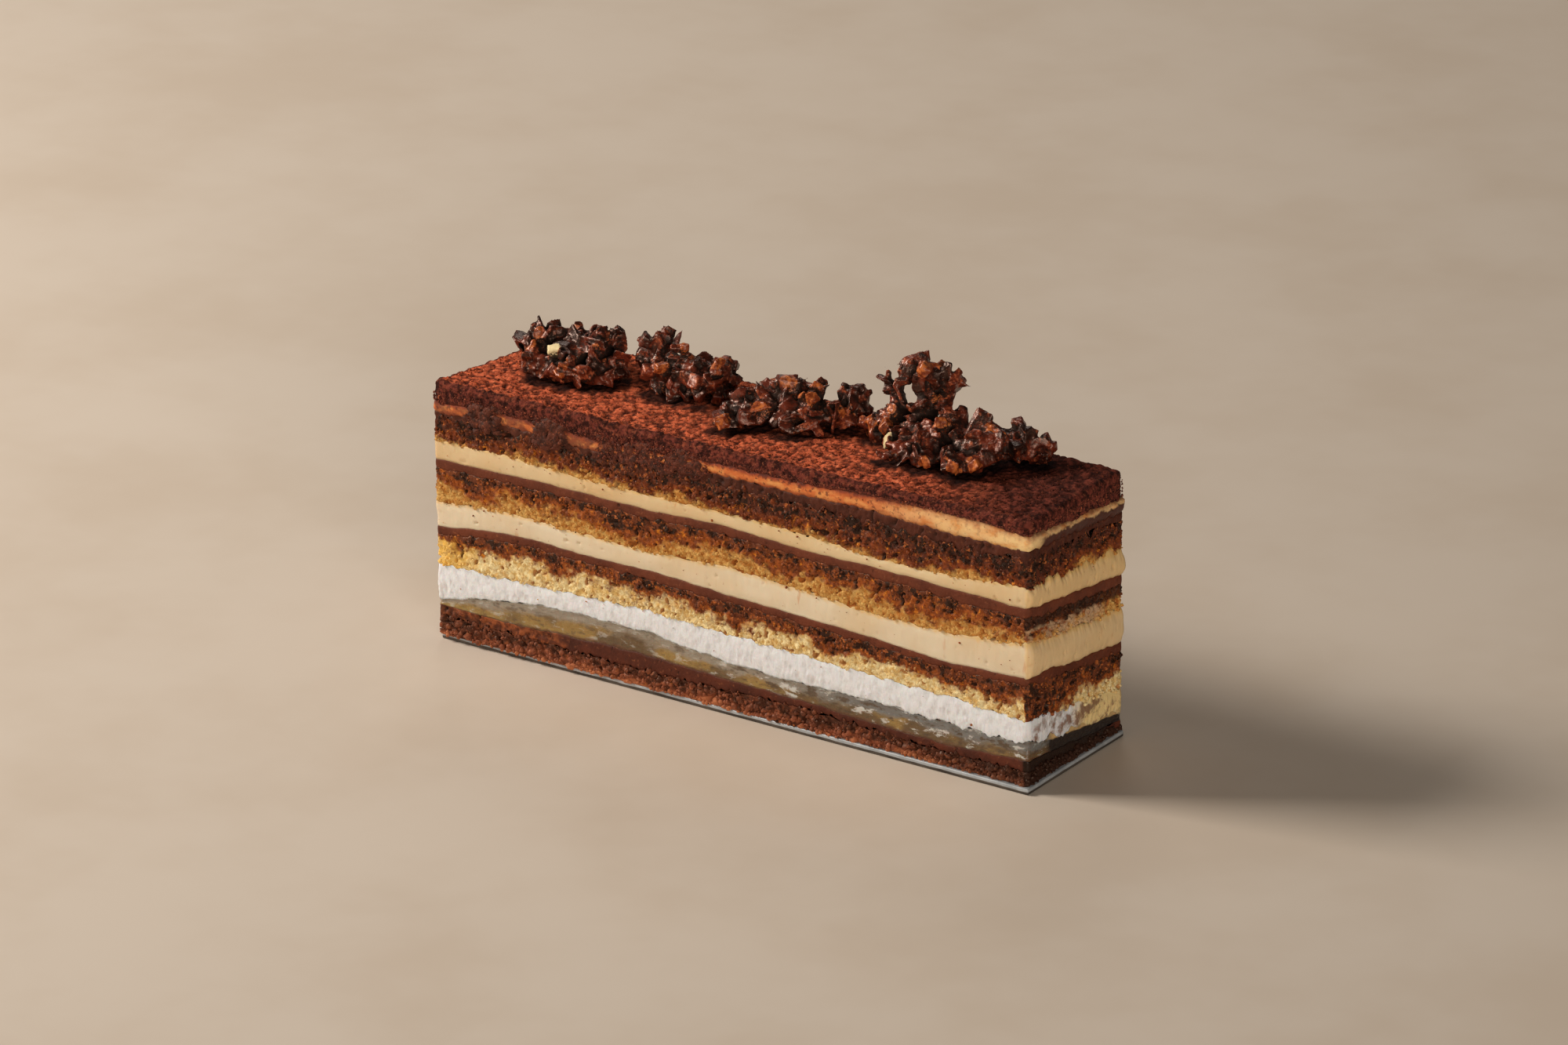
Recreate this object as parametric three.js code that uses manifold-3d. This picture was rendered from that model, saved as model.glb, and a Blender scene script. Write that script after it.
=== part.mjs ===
// A cut bar of opera cake on its thin card. From the table up it is sponge, ganache, jelly and
// white cream, then three rounds of sponge under ganache with cream between them, and a top of
// cocoa. Four rough clusters of nuts in chocolate stand on the cocoa.
// Millimetres. +X runs along the bar, +Y to its back and +Z up. The origin is the middle of the base.

import * as THREE from "three";
import { mergeVertices } from "three/addons/utils/BufferGeometryUtils.js";
import Module from "manifold-3d";

const wasm = await Module();
wasm.setup();

// ---- Driving dimensions ----

const LENGTH = 116;
const WIDTH = 27.8;
const TOP = 46.6; // the cocoa's surface above the table
const GAP = 0.1; // kept between two pieces that touch
const CARD = { length: 116.8, width: 28.6, thick: 1.1, shift: 0.5, turnDeg: -0.7 };

const LEFT_SKEW = 3.5; // the left end is cut askew: its back corner lies this far in

// At the right end the layers have slumped towards the back: from this place along the bar, the
// seams fall by low, or by high from a height of highFrom to highTo, and never by more than a share
// of their height above the card.
const SLUMP = { from: 25, low: 4, high: 2.6, highFrom: 31, highTo: 40, share: 0.6 };
const BACK_WAVE = { rise: 0.4, length: 14 }; // how the seams at the back differ from the front
const RIM = { width: 1.5, drop: 0.6 }; // the cocoa's rounded edge
const CORNER_SAG = { from: -50, over: 8, drop: 1.5 }; // the cocoa's left back corner has slumped

const ALONG = 16; // cells of a layer along the bar
const ACROSS = 2; // and across it

// Each seam's height on the front face, at nine places evenly spaced from the left end to the right.
const SEAMS = {
  base_sponge: [4.6, 4.4, 4.2, 4.0, 4.3, 4.7, 4.0, 3.6, 3.7],
  base_ganache: [6.4, 6.1, 6.7, 6.8, 6.1, 5.9, 5.2, 4.8, 5.7],
  jelly: [7.4, 10.2, 11.1, 10.9, 9.3, 8.9, 9.1, 8.8, 8.4],
  white_cream: [13.8, 14.0, 14.5, 14.9, 14.2, 14.0, 13.5, 13.3, 12.4],
  sponge_low: [19.0, 20.7, 20.5, 20.4, 19.8, 19.4, 18.9, 18.2, 18.6],
  ganache_low: [20.4, 22.2, 21.9, 21.9, 21.2, 20.7, 20.1, 19.3, 20.0],
  cream_low: [24.9, 25.9, 25.5, 25.3, 26.1, 25.3, 24.4, 24.4, 25.8],
  sponge_middle: [30.9, 31.2, 31.3, 31.1, 31.7, 30.9, 30.7, 30.2, 29.9],
  ganache_middle: [32.5, 32.7, 32.8, 32.6, 33.2, 32.3, 32.4, 32.1, 31.7],
  cream_middle: [35.8, 36.0, 35.3, 35.3, 35.4, 35.1, 34.1, 34.3, 35.5],
  sponge_high: [39.9, 40.4, 39.7, 40.0, 40.4, 40.1, 40.1, 39.7, 39.8],
  ganache_high: [40.7, 41.3, 40.6, 41.2, 41.9, 41.7, 42.0, 41.5, 41.5],
  cream_high: [42.8, 43.5, 43.0, 43.2, 43.9, 44.0, 44.8, 45.2, 44.2],
};

// How far each kind of layer stands out of the cut face at its seams and at its middle, and how
// rough its side is.
const SIDES = {
  sponge: { seam: -0.1, middle: -0.15, rough: 0.35 },
  ganache: { seam: 0, middle: 0.1, rough: 0.08 },
  jelly: { seam: -0.1, middle: -0.25, rough: 0.12 },
  cream: { seam: 0, middle: 0.25, rough: 0.1 },
  cocoa: { seam: 0.15, middle: 0.3, rough: 0.15 },
};

const FINISHES = {
  card: { color: 0xc9c8c4, roughness: 0.45, metalness: 0.2 },
  sponge: { color: 0x8a5a26, roughness: 0.95, metalness: 0 },
  ganache: { color: 0x5a3021, roughness: 0.5, metalness: 0 },
  jelly: { color: 0x8f8360, roughness: 0.25, metalness: 0 },
  white: { color: 0xe6ded6, roughness: 0.7, metalness: 0 },
  cream: { color: 0xe3cb9d, roughness: 0.6, metalness: 0 },
  cocoa: { color: 0x7d3a22, roughness: 1, metalness: 0 },
  nuts: { color: 0x3a1d14, roughness: 0.35, metalness: 0 },
};

// ---- Small tools ----

// A random number from 0 to 1 that is the same on each run.
function seededRandom(seed) {
  let state = seed >>> 0;
  return () => {
    state = (state + 0x6d2b79f5) >>> 0;
    let t = Math.imul(state ^ (state >>> 15), state | 1);
    t ^= t + Math.imul(t ^ (t >>> 7), t | 61);
    return ((t ^ (t >>> 14)) >>> 0) / 4294967296;
  };
}

const between = (random, low, high) => low + (high - low) * random();

function finish(name) {
  return new THREE.MeshStandardMaterial({ name, ...FINISHES[name] });
}

function solidFrom(geometry) {
  const bare = geometry.clone();
  bare.deleteAttribute("normal");
  bare.deleteAttribute("uv");
  const merged = mergeVertices(bare, 1e-4);
  const mesh = new wasm.Mesh({
    numProp: 3,
    vertProperties: merged.attributes.position.array,
    triVerts: new Uint32Array(merged.index.array),
  });
  return new wasm.Manifold(mesh);
}

function geometryFrom(solid) {
  const { vertProperties, triVerts } = solid.getMesh();
  const geometry = new THREE.BufferGeometry();
  geometry.setAttribute("position", new THREE.BufferAttribute(vertProperties, 3));
  geometry.setIndex(new THREE.BufferAttribute(triVerts, 1));
  return geometry;
}

// ---- The layers ----

// The seam's height at a point of the cake, from its nine heights on the front face.
const seamCurves = new Map();
Object.entries(SEAMS).forEach(([name, heights], index) => {
  const places = heights.map((_, i) => (i / (heights.length - 1) - 0.5) * LENGTH);
  const curve = new THREE.CubicInterpolant(places, heights, 1);
  seamCurves.set(name, { curve, phase: index / 2 });
});

function seamHeight(name, x, y) {
  if (name === "card") return CARD.thick;
  if (name === "cocoa") return cocoaHeight(x, y);
  const { curve, phase } = seamCurves.get(name);
  const inside = THREE.MathUtils.clamp(x, -LENGTH / 2, LENGTH / 2);
  const front = curve.evaluate(inside)[0];
  const wave = BACK_WAVE.rise * Math.sin(x / BACK_WAVE.length + phase);
  return front + backShare(y) * (wave - slump(front, inside));
}

function slump(height, x) {
  const { from, low, high, highFrom, highTo, share } = SLUMP;
  const fall = THREE.MathUtils.lerp(low, high, THREE.MathUtils.smoothstep(height, highFrom, highTo));
  const most = share * (height - CARD.thick);
  return Math.min(fall, most) * THREE.MathUtils.smoothstep(x, from, LENGTH / 2);
}

// 0 on the front face and 1 on the back face.
function backShare(y) {
  return THREE.MathUtils.clamp(y / WIDTH + 0.5, 0, 1);
}

function cocoaHeight(x, y) {
  const { from, over, drop } = CORNER_SAG;
  const sag = drop * THREE.MathUtils.smoothstep(from - x, 0, over);
  return TOP - sag * backShare(y);
}

// Where the lines of a layer's grid lie, from -0.5 to 0.5 of its length or width. A rim adds a
// narrow cell at each end.
function gridLines(cells, rimShare) {
  const lines = [];
  for (let i = 0; i <= cells; i++) lines.push((i / cells - 0.5) * (1 - 2 * rimShare));
  return rimShare > 0 ? [-0.5, ...lines, 0.5] : lines;
}

// A layer is a slab on a grid. Its top and bottom follow two seams, and its side is a strip
// below and a strip above a middle ring that bulges or is rough.
function layerGeometry({ bottom, top, side, rim, seed }) {
  const { seam, middle, rough } = SIDES[side];
  const random = seededRandom(seed);
  const xs = gridLines(ALONG, rim ? rim.width / LENGTH : 0);
  const ys = gridLines(ACROSS, rim ? rim.width / WIDTH : 0);
  const lastX = xs.length - 1;
  const lastY = ys.length - 1;
  const points = [];
  const triangles = [];

  // A point of the footprint, moved out of the cut face by a distance.
  const footprint = (i, j, out) => {
    const x = xs[i] * LENGTH;
    const y = ys[j] * WIDTH;
    const skew = LEFT_SKEW * (0.5 - xs[i]) * (ys[j] + 0.5);
    const outX = i === 0 ? -out : i === lastX ? out : 0;
    const outY = j === 0 ? -out : j === lastY ? out : 0;
    return [x + skew + outX, y + outY];
  };
  const addPoint = (x, y, z) => points.push(x, y, z) / 3 - 1;
  const quad = (a, b, c, d) => triangles.push(a, b, c, a, c, d);

  const cap = (seamName, lift, onEdge) =>
    xs.map((_, i) =>
      ys.map((__, j) => {
        const [x, y] = footprint(i, j, seam);
        const edge = i === 0 || i === lastX || j === 0 || j === lastY;
        return addPoint(x, y, seamHeight(seamName, x, y) + lift - (edge ? onEdge : 0));
      }),
    );
  const low = cap(bottom, GAP / 2, 0);
  const high = cap(top, -GAP / 2, rim ? rim.drop : 0);
  for (let i = 0; i < lastX; i++) {
    for (let j = 0; j < lastY; j++) {
      quad(high[i][j], high[i + 1][j], high[i + 1][j + 1], high[i][j + 1]);
      quad(low[i][j], low[i][j + 1], low[i + 1][j + 1], low[i + 1][j]);
    }
  }

  // The ring of grid places round the edge, anticlockwise from above.
  const ring = [];
  for (let i = 0; i < lastX; i++) ring.push([i, 0]);
  for (let j = 0; j < lastY; j++) ring.push([lastX, j]);
  for (let i = lastX; i > 0; i--) ring.push([i, lastY]);
  for (let j = lastY; j > 0; j--) ring.push([0, j]);
  const waist = ring.map(([i, j]) => {
    const [x, y] = footprint(i, j, middle + between(random, -rough, rough));
    const share = between(random, 0.4, 0.6);
    const z = THREE.MathUtils.lerp(points[low[i][j] * 3 + 2], points[high[i][j] * 3 + 2], share);
    return addPoint(x, y, z);
  });
  ring.forEach(([i, j], here) => {
    const next = (here + 1) % ring.length;
    const [ni, nj] = ring[next];
    quad(low[i][j], low[ni][nj], waist[next], waist[here]);
    quad(waist[here], waist[next], high[ni][nj], high[i][j]);
  });

  const geometry = new THREE.BufferGeometry();
  geometry.setAttribute("position", new THREE.Float32BufferAttribute(points, 3));
  geometry.setIndex(triangles);
  return geometry;
}

// The layers from the card up. Each lies between the seam of the one below and its own.
const LAYERS = [
  { name: "base_sponge", side: "sponge", look: "sponge" },
  { name: "base_ganache", side: "ganache", look: "ganache" },
  { name: "jelly", side: "jelly", look: "jelly" },
  { name: "white_cream", side: "cream", look: "white" },
  { name: "sponge_low", side: "sponge", look: "sponge" },
  { name: "ganache_low", side: "ganache", look: "ganache" },
  { name: "cream_low", side: "cream", look: "cream" },
  { name: "sponge_middle", side: "sponge", look: "sponge" },
  { name: "ganache_middle", side: "ganache", look: "ganache" },
  { name: "cream_middle", side: "cream", look: "cream" },
  { name: "sponge_high", side: "sponge", look: "sponge" },
  { name: "ganache_high", side: "ganache", look: "ganache" },
  { name: "cream_high", side: "cream", look: "cream" },
  { name: "cocoa", side: "cocoa", look: "cocoa", rim: RIM },
];

function layerMeshes() {
  return LAYERS.map(({ name, side, look, rim }, index) => {
    const bottom = index === 0 ? "card" : LAYERS[index - 1].name;
    const geometry = layerGeometry({ bottom, top: name, side, rim, seed: 100 + index });
    const mesh = new THREE.Mesh(geometry, finish(look));
    mesh.name = name === "cocoa" ? "cocoa_top" : name;
    return mesh;
  });
}

// The thin card under the bar, turned a little against it.
function cardMesh() {
  const geometry = new THREE.BoxGeometry(CARD.length, CARD.width, CARD.thick);
  const mesh = new THREE.Mesh(geometry, finish("card"));
  mesh.name = "base_card";
  mesh.position.set(CARD.shift, 0, CARD.thick / 2);
  mesh.rotation.z = THREE.MathUtils.degToRad(CARD.turnDeg);
  return mesh;
}

// ---- The nut clusters ----

const NIB = { shortest: 0.9, longest: 2 }; // half the length of a chopped nut
const NIBS_ON_LUMP = 3;
const SUNK = 3; // how far below the cocoa's surface a cluster is cut off before it is trimmed
const FACING = { x: 64, y: 31, z: 14 }; // degrees: the large nuts show a flat side to the front and right
const SWING = 14; // and each is turned by up to this many degrees from that

// A cluster is lumps, each [x, y, z, radius] with small nibs stuck on it, and the large nuts that
// stand out of it, each [x, y, z, half length, half width, half thickness, lean in degrees].
const CLUSTERS = {
  nut_cluster_1: {
    lumps: [
      [-45.6, 0.6, 50.4, 3],
      [-43.6, -2.6, 48, 3.2],
      [-40.4, 0.4, 50, 3.4],
      [-38.8, -2.8, 47.8, 3.2],
      [-36.4, 1.6, 51, 3],
      [-34.6, 3.6, 49.4, 2.8],
      [-34.4, -1.6, 47.6, 3],
      [-32.4, 1, 47.8, 2.2],
      [-41, 4.6, 48.6, 3.4],
    ],
    nuts: [
      [-49, 0.4, 49.4, 3.4, 1.2, 1.2, -33],
      [-47.4, 0, 53.2, 1.9, 1.4, 1.1, 80],
      [-43.6, 1.2, 53, 2.4, 1.5, 1.2, -30],
      [-41.4, -3, 51, 1.6, 1.4, 1.2, -40],
      [-44.4, -5, 48.4, 2.4, 1.2, 1, -60],
      [-40.6, -5, 48.4, 2, 1.5, 1.2, 20],
      [-34.6, -1.8, 51.4, 3.3, 1.2, 0.9, 68],
      [-35.4, 1.4, 54.4, 2.8, 1.6, 0.9, 60],
      [-33.6, 3.2, 53.6, 2.5, 1, 1, 80],
      [-32.2, 0.2, 49.6, 2.8, 1.4, 1.2, -24],
    ],
  },
  nut_cluster_2: {
    lumps: [
      [-26, 4.4, 50, 3],
      [-25, 5, 52.8, 2.1],
      [-21.6, 3, 49.4, 3.2],
      [-17.8, 3.4, 49.6, 3.2],
      [-14.2, 5.4, 49.8, 3],
      [-23, 0.8, 47.4, 2.4],
      [-19.6, 7.4, 48.4, 3],
    ],
    nuts: [
      [-28, 3.4, 51.8, 3.1, 1.3, 1.2, 60],
      [-25.6, 4.4, 54.4, 2.6, 1.3, 1.1, 28],
      [-22.8, 4.8, 53.6, 2.4, 1.1, 1, -60],
      [-29, 5, 49.6, 2.2, 1.2, 1.1, 70],
      [-24.4, 2.4, 52, 1.8, 1.3, 1.2, 50],
      [-22.2, 0.6, 50.8, 1.8, 1.6, 1, 20],
      [-25, 1.2, 50.2, 1.9, 1.1, 1, 40],
      [-19.4, 4, 53, 3.1, 1.1, 1.2, -30],
      [-18, 2.6, 51.6, 2.1, 1.5, 1.3, 0],
      [-14.4, 5, 51.8, 2.1, 1.3, 1.2, 20],
      [-13, 7.4, 51.6, 2, 1.2, 1, -40],
      [-19.2, 0, 48.3, 2.8, 1.6, 1.2, -65],
      [-14.8, -0.4, 49, 3.4, 1.5, 1, -75],
      [-13, 2.2, 48.2, 2.8, 1.2, 1, -65],
    ],
  },
  nut_cluster_3: {
    lumps: [
      [-4.6, -2.4, 48.6, 2.8],
      [-1, -0.8, 49.2, 3.2],
      [2.6, 0.8, 49.8, 3],
      [6.2, 1.2, 49.2, 3],
      [10.4, 7.8, 49.6, 2.8],
      [9.6, 4.2, 48.4, 2.8],
    ],
    nuts: [
      [-6.6, -4.8, 48.2, 2, 1.4, 1.3, 20],
      [-4.2, -7.2, 47.4, 3.2, 1.4, 1, -8],
      [-4.8, -2, 50.8, 2.7, 1.3, 1.1, 56],
      [-2.4, -1.4, 52, 2.6, 1.2, 1.1, -12],
      [-1.4, -4.2, 48.2, 3.6, 2, 1.1, 2],
      [3.8, -2.8, 49.2, 3.4, 2, 1.1, 8],
      [2, 2.4, 52.8, 4.2, 1.2, 1.4, 6],
      [6.6, 3.6, 52.6, 3, 0.9, 1.2, 20],
      [6.8, 1, 51.8, 2, 1.4, 1.3, 50],
      [9.4, 0.2, 49, 4.2, 1.1, 1.1, 10],
      [7.4, -2.6, 47.8, 4, 1.3, 1, 20],
      [10.6, 8.2, 51, 2.7, 2.2, 1.9, 30],
    ],
  },
  nut_cluster_4: {
    lumps: [
      [25.6, 4.4, 49, 3.4],
      [26, 5.6, 52.8, 2.5],
      [25.6, 6, 56.6, 2.4],
      [29.6, 2, 49, 3.4],
      [31.8, 5.2, 50.4, 3],
      [26.4, -1.6, 47.4, 2.8],
      [31.4, -2.2, 47.2, 2.6],
      [35, 2.2, 48.6, 2.8],
      [37.4, -1.4, 47.4, 3.2],
      [39.6, 3.2, 49.8, 3.4],
      [43.6, 6.6, 49.4, 3],
      [46.6, 8.2, 48.2, 2.4],
      [20.6, 3.6, 48.8, 2.8],
    ],
    nuts: [
      [23.4, 6.4, 59.8, 3.2, 2.1, 1.9, 20],
      [28.4, 6.6, 59, 6.2, 2, 1.6, -40],
      [20, 5.8, 54.4, 4.8, 0.9, 0.9, -55],
      [21.6, 5.8, 56, 4.2, 0.8, 0.8, -82],
      [18.6, 5.8, 57, 1.6, 1.1, 1, 60],
      [22.6, 5, 52.4, 2, 1.3, 1.2, -30],
      [29.4, 6, 53.4, 3, 1.3, 1.3, -80],
      [32.4, 6.6, 52.4, 2.6, 1.7, 1.4, -70],
      [16, 4, 48.4, 2.1, 1.5, 1.3, -40],
      [17.8, 3.4, 48.8, 2, 1.2, 1.2, 80],
      [19.4, 3.4, 49.6, 2.1, 1.3, 1.2, 60],
      [20.8, 4.6, 51.4, 2.1, 1.3, 1.2, 20],
      [24.8, 1, 50, 2.9, 1.2, 1.2, 10],
      [23, -1.2, 48.6, 1.8, 1, 1, -15],
      [26.6, -3.4, 48.6, 2, 1.5, 1.2, -60],
      [25, -5, 47.4, 3.2, 1.3, 0.9, -36],
      [31.2, -4, 47.9, 2.1, 1.5, 1.3, 40],
      [28.8, -1.6, 49.4, 2.4, 1.4, 1.2, 0],
      [36.4, -3.2, 48.6, 2.1, 1.5, 1.3, 60],
      [40.4, -2.2, 49, 2.3, 1.5, 1.3, -30],
      [38.8, 5, 52, 3, 1.8, 1.6, -20],
      [41, 0.8, 50, 2.8, 1.9, 1.5, -50],
      [42.8, 7.6, 51.4, 2.5, 2, 1.3, -50],
      [47.4, 9.2, 49.4, 2.1, 1.4, 1.2, -30],
      [46.4, 7, 48.2, 2.9, 1.3, 1.1, 12],
    ],
  },
};

// A broken piece: the twelve corners of an icosahedron pushed in or out, then stretched.
function shard(random, halfSize, turn, at) {
  const ball = new THREE.IcosahedronGeometry(1, 0);
  ball.deleteAttribute("normal");
  ball.deleteAttribute("uv");
  const piece = mergeVertices(ball);
  const corners = piece.attributes.position;
  const corner = new THREE.Vector3();
  for (let i = 0; i < corners.count; i++) {
    corner.fromBufferAttribute(corners, i).multiplyScalar(between(random, 0.8, 1.2));
    corners.setXYZ(i, corner.x, corner.y, corner.z);
  }
  const place = new THREE.Matrix4().compose(
    new THREE.Vector3(...at),
    new THREE.Quaternion().setFromEuler(new THREE.Euler(...turn)),
    new THREE.Vector3(...halfSize),
  );
  return solidFrom(piece.applyMatrix4(place));
}

const anyTurn = (random) => [0, 1, 2].map(() => between(random, -Math.PI, Math.PI));

// One lump: a core with nibs spread round its upper side by the golden angle.
function lumpShards(random, [x, y, z, radius]) {
  const shards = [shard(random, [radius, radius, radius], anyTurn(random), [x, y, z])];
  const golden = Math.PI * (3 - Math.sqrt(5));
  const start = between(random, 0, 2 * Math.PI);
  for (let n = 0; n < NIBS_ON_LUMP; n++) {
    const rise = THREE.MathUtils.lerp(-0.3, 0.8, n / (NIBS_ON_LUMP - 1));
    const reach = radius * Math.sqrt(1 - rise * rise);
    const angle = start + n * golden;
    const half = between(random, NIB.shortest, NIB.longest);
    const size = [half, half * between(random, 0.5, 0.8), half * between(random, 0.4, 0.7)];
    const at = [x + reach * Math.cos(angle), y + reach * Math.sin(angle), z + rise * radius];
    shards.push(shard(random, size, anyTurn(random), at));
  }
  return shards;
}

// One large nut, its flat side to the front and right, leaning in its own plane.
function nutShard(random, [x, y, z, length, width, thick, lean]) {
  const degrees = [FACING.x, FACING.y, FACING.z + lean].map((turn) => turn + between(random, -SWING, SWING));
  return shard(random, [length, width, thick], degrees.map(THREE.MathUtils.degToRad), [x, y, z]);
}

function slab(x, y, low, high) {
  const geometry = new THREE.BoxGeometry(2 * x, 2 * y, high - low);
  return solidFrom(geometry.translate(0, 0, (low + high) / 2));
}

// The pieces of a cluster fused into one body that lies on the cocoa. Loose scraps are dropped.
function clusterMesh(name, { lumps, nuts }, seed, cocoa) {
  const random = seededRandom(seed);
  const shards = lumps.flatMap((lump) => lumpShards(random, lump));
  nuts.forEach((nut) => shards.push(nutShard(random, nut)));
  const fused = wasm.Manifold.union(shards);
  const under = slab(LENGTH, WIDTH, 0, TOP - SUNK);
  const trimmed = fused.subtract(under).subtract(cocoa.translate(0, 0, GAP));
  const bodies = trimmed.decompose().sort((a, b) => b.volume() - a.volume());
  const mesh = new THREE.Mesh(geometryFrom(bodies[0]), finish("nuts"));
  mesh.name = name;
  return mesh;
}

// ---- The whole ----

const cake = new THREE.Group();
const layers = layerMeshes();
const cocoaSolid = solidFrom(layers.at(-1).geometry);
cake.add(cardMesh(), ...layers);
Object.entries(CLUSTERS).forEach(([name, cluster], index) => {
  cake.add(clusterMesh(name, cluster, 7 + index, cocoaSolid));
});

// The origin is put under the middle of the whole.
const bounds = new THREE.Box3().setFromObject(cake, true);
const middle = bounds.getCenter(new THREE.Vector3());
cake.position.set(-middle.x, -middle.y, -bounds.min.z);

export default cake;
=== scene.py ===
# %% [markdown]
# # A slice of opera cake
#
# An opera cake is a stack of thin sheets of almond sponge soaked in coffee, with ganache and butter cream
# between them. This bar has a base of chocolate sponge with jelly and white cream on it, a top dusted with
# cocoa, and four rough clusters of nuts in chocolate.
#
# The lesson dresses a plain solid model. Each layer of that model is a slab with the true size and the true
# seams. We keep those, and give each slab the crumb, the pores and the smears that make it look like food.

import math
import random

import bmesh
import bpy
from mathutils import Matrix, Vector, noise
from mathutils.bvhtree import BVHTree
from mathutils.kdtree import KDTree


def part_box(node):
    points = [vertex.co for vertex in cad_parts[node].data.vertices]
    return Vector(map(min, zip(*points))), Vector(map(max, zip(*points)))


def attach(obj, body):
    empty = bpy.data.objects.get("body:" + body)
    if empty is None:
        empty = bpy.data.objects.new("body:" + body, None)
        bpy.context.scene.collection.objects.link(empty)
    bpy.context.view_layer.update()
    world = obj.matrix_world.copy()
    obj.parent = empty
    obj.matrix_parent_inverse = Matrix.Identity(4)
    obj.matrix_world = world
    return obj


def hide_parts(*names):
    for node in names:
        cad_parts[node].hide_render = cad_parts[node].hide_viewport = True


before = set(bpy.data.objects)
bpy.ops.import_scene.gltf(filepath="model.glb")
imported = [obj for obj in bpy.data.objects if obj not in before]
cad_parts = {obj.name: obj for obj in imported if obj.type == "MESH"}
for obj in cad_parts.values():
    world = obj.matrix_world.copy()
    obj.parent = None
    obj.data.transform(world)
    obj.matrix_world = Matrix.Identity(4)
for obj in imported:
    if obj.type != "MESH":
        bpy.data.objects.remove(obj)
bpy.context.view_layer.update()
MM = 0.001


# %% Small helpers
def add(name, data):
    """A new object in the scene, made of that data."""
    thing = bpy.data.objects.new(name, data)
    bpy.context.scene.collection.objects.link(thing)
    return thing


def mesh_of(name, bm):
    """The bmesh as a plain mesh. The bmesh itself is let go."""
    mesh = bpy.data.meshes.new(name)
    bm.to_mesh(mesh)
    bm.free()
    return mesh


def clamp(value, low=0, high=1):
    return min(high, max(low, value))


print("helpers ready")

# %% [markdown]
# ## The camera
#
# A slice like this is shown with a long lens from far away, so its long edges stay almost parallel. Two angles
# say where the camera looks from, and the aim is the point that its axis passes. Its three axes are the columns
# of its matrix.

# %% Camera
AZIMUTH, ELEVATION, ROLL = [math.radians(angle) for angle in (34.2, 22.11, 0.54)]
DISTANCE = 1288.6  # mm
AIM_ACROSS, AIM_UP = 1.43, 26.89  # mm
across = Vector((math.cos(AZIMUTH), math.sin(AZIMUTH), 0))
ahead = Vector((-math.sin(AZIMUTH), math.cos(AZIMUTH), 0)) * math.cos(ELEVATION)
ahead.z = -math.sin(ELEVATION)
up = across.cross(ahead)
place = (across * AIM_ACROSS + up * AIM_UP - ahead * DISTANCE) * MM
right = across * math.cos(ROLL) - up * math.sin(ROLL)
above = across * math.sin(ROLL) + up * math.cos(ROLL)
lens = bpy.data.cameras.new("lens")
lens.lens = 180
lens.sensor_width = 36
lens.clip_end = 30
camera = add("camera", lens)
camera.matrix_world = Matrix.Translation(place) @ Matrix((right, above, -ahead)).transposed().to_4x4()
bpy.context.scene.camera = camera
print("camera at, mm:", [round(v / MM) for v in camera.matrix_world.translation])

# %% [markdown]
# ## Light
#
# Food is lit from the side, so that crumbs and powder throw small shadows. One soft lamp to the left does that,
# and a weak one behind adds shine to the nuts. A low lamp at the right lights the end face and hardly touches
# the table, so the shadow there stays dark.

# %% Light
WARM_WHITE = (1.0, 0.95, 0.89)
SKY_COLOUR, SKY_STRENGTH = (0.80, 0.74, 0.67, 1), 0.078
AIM = Vector((0, 0, 0.03))


def softbox(name, place, width, height, watts):
    light = bpy.data.lights.new(name, "AREA")
    light.shape = "RECTANGLE"
    light.size, light.size_y = width, height
    light.energy = watts
    light.color = WARM_WHITE
    lamp = add(name, light)
    lamp.location = place
    lamp.rotation_euler = (AIM - Vector(place)).to_track_quat("-Z", "Y").to_euler()


softbox("window", (-0.78, -0.32, 0.55), 0.34, 0.34, 10)
softbox("back_window", (-0.5, 0.75, 0.7), 0.3, 0.3, 1.0)
softbox("low_fill", (0.95, -0.95, 0.28), 0.7, 0.5, 9)
sky = bpy.data.worlds.new("sky")
sky.use_nodes = True
glow = sky.node_tree.nodes["Background"].inputs
glow["Color"].default_value, glow["Strength"].default_value = SKY_COLOUR, SKY_STRENGTH
bpy.context.scene.world = sky
bpy.context.scene.view_settings.view_transform = "Standard"
bpy.context.scene.view_settings.look = "None"

# %% [markdown]
# ## Writing a material as a sum
#
# A material is a tree of nodes, which is hard to read in code. So one small class stands for a value on its way
# through the tree: adding or multiplying two of them adds the Math node that does it. A second class holds the
# material, and its `node` method makes any other node from its type, settings and inputs.
#
# A finish is painted like a wall. It starts as one plain colour, and `cover` lays other colours over it. A mask
# says where: it's 1 where the new colour hides all and 0 where it isn't seen.


# %% Shader values
class Shade:
    """A number or colour on its way through a material."""

    def __init__(self, finish, socket):
        self.finish, self.socket = finish, socket

    def math(self, operation, *values):
        return self.finish.node("ShaderNodeMath", {"operation": operation}, dict(enumerate(values)))

    def __add__(self, other):
        return self.math("ADD", self, other)

    def __sub__(self, other):
        return self.math("SUBTRACT", self, other)

    def __rsub__(self, other):
        return self.math("SUBTRACT", other, self)

    def __mul__(self, other):
        return self.math("MULTIPLY", self, other)

    __radd__ = __add__

    def most(self, other):
        return self.math("MAXIMUM", self, other)

    def mask(self, low, high):
        """0 below low and 1 above high, or the other way round if low is the larger."""
        inputs = {"Value": self, "From Min": low, "From Max": high}
        return self.finish.node("ShaderNodeMapRange", {"interpolation_type": "SMOOTHSTEP"}, inputs)


def paint(colour):
    """A screen colour, three numbers up to 255, as the linear colour that the renderer reckons with."""
    linear = [c / 12.92 if c <= 0.04045 else ((c + 0.055) / 1.055) ** 2.4 for c in (v / 255 for v in colour)]
    return (*linear, 1)


print("shader values ready")


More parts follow.
